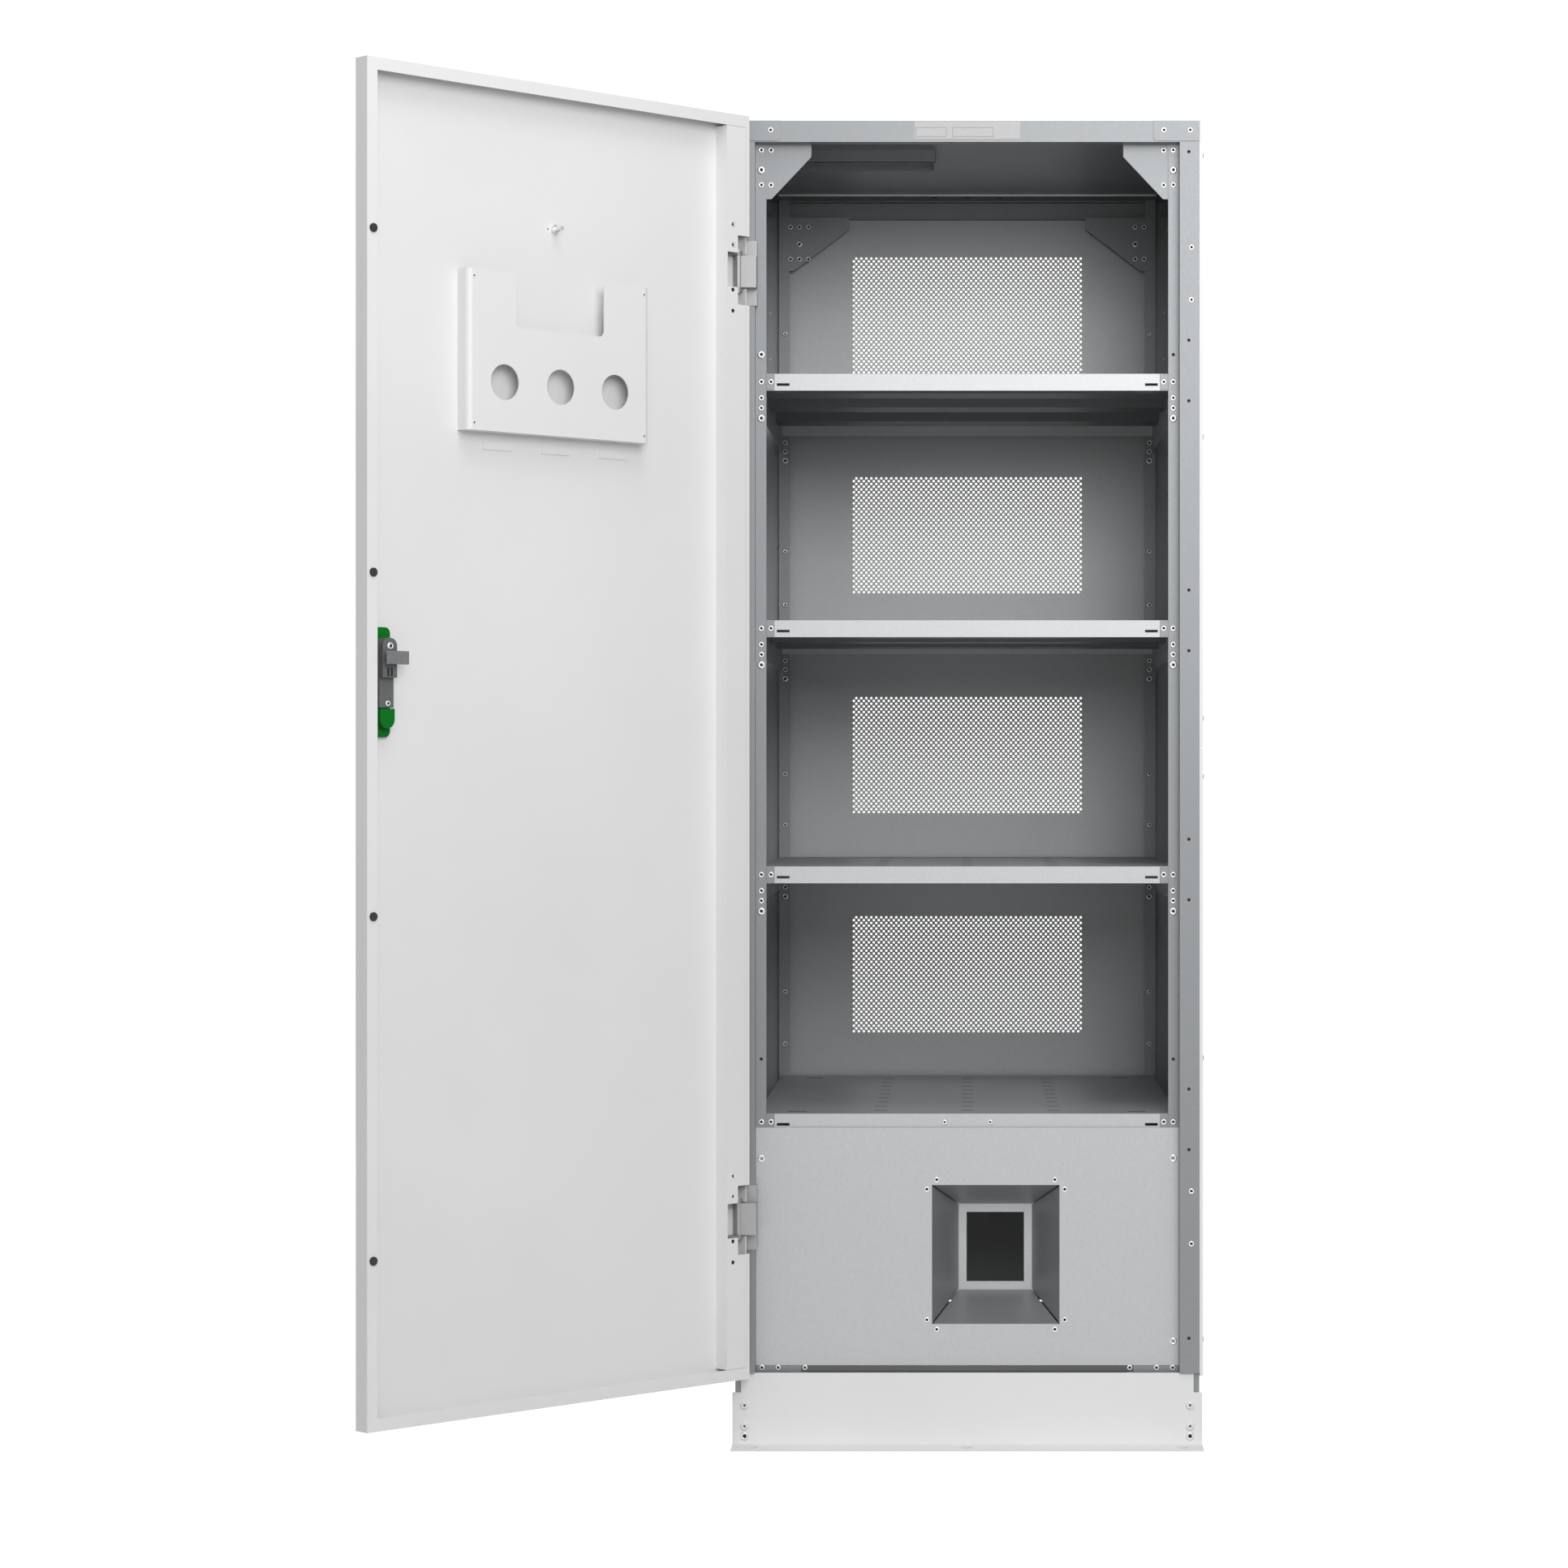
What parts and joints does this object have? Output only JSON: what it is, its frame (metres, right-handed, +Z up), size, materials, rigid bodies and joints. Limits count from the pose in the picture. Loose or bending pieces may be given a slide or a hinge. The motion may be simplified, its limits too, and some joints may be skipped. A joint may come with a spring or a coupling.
{
  "type": "battery cabinet",
  "caption": "Tall floor-standing battery cabinet with open shelves, perforated rear panel, bolt-down plinth and a hinged front door with latch and document pocket.",
  "frame": {"origin": "on the floor at the centre of the anchor holes", "axes": "+X to the right seen from the door side, +Y to the rear, +Z up"},
  "size_m": [1.1811, 1.3844, 1.97],
  "materials": {
    "white_paint": "satin powder coat",
    "galvanised": "galvanised sheet",
    "zinc": "zinc plated",
    "rubber": "matt",
    "green_plastic": "matt",
    "die_cast": "satin die-cast"
  },
  "bodies": {
    "cabinet": {"bottom_rail_front": "galvanised", "bottom_rail_left": "galvanised", "bottom_rail_rear": "galvanised", "bottom_rail_right": "galvanised", "breaker_frame": "galvanised", "cable_entry_cover": "galvanised", "cable_entry_frame": "galvanised", "corner_plates": "galvanised", "cover_feet": "galvanised", "funnel_floor": "galvanised", "funnel_left": "galvanised", "funnel_right": "galvanised", "funnel_top": "galvanised", "gusset_front_left": "galvanised", "gusset_front_right": "galvanised", "gusset_rear_left": "galvanised", "gusset_rear_right": "galvanised", "hinge_frame_leaves": "zinc", "hinge_pins": "zinc", "lower_cover": "galvanised", "plinth_front": "white_paint", "plinth_left": "white_paint", "plinth_rear": "white_paint", "plinth_right": "white_paint", "post_front_left": "galvanised", "post_front_right": "galvanised", "post_rear_left": "galvanised", "post_rear_right": "galvanised", "rear_panel": "galvanised", "roof": "galvanised", "shelf_1": "galvanised", "shelf_1_channels": "galvanised", "shelf_2": "galvanised", "shelf_2_channels": "galvanised", "shelf_3": "galvanised", "shelf_3_channels": "galvanised", "shelf_4": "galvanised", "shelf_4_channels": "galvanised", "side_panel_left_lower": "white_paint", "side_panel_left_upper": "white_paint", "side_panel_right_lower": "white_paint", "side_panel_right_upper": "white_paint", "top_rail_front": "galvanised", "top_rail_left": "galvanised", "top_rail_rear": "galvanised", "top_rail_right": "galvanised"},
    "door": {"hinge_door_leaves": "zinc", "door_pan": "white_paint", "door_channel": "white_paint", "document_pocket": "white_paint", "pocket_tabs": "white_paint", "door_buffers": "rubber", "earth_stud": "zinc", "latch_plate": "die_cast", "latch_housing": "green_plastic", "latch_case": "die_cast"},
    "latch": {"latch_spindle": "zinc"},
    "lever": {"latch_lever": "die_cast", "lever_pin": "zinc"},
    "key": {"key_barrel": "zinc"}
  },
  "joints": [
    {"name": "door_hinge", "type": "hinge", "parent": "cabinet", "child": "door", "pos_m": [-0.339, -0.43, 0], "axis": [0, 0, 1], "range_deg": [0, 135]},
    {"name": "latch_turn", "type": "hinge", "parent": "door", "child": "latch", "pos_m": [-0.8064, -0.8776, 1.155], "axis": [-0.7071, 0.7071, 0], "range_deg": [0, 180]},
    {"name": "lever_lift", "type": "hinge", "parent": "latch", "child": "lever", "pos_m": [-0.81156, -0.87244, 1.155], "axis": [-0.7071, -0.7071, 0], "range_deg": [0, 35]},
    {"name": "key_turn", "type": "hinge", "parent": "door", "child": "key", "pos_m": [-0.8064, -0.8776, 1.071], "axis": [-0.7071, 0.7071, 0], "range_deg": [0, 90]}
  ]
}
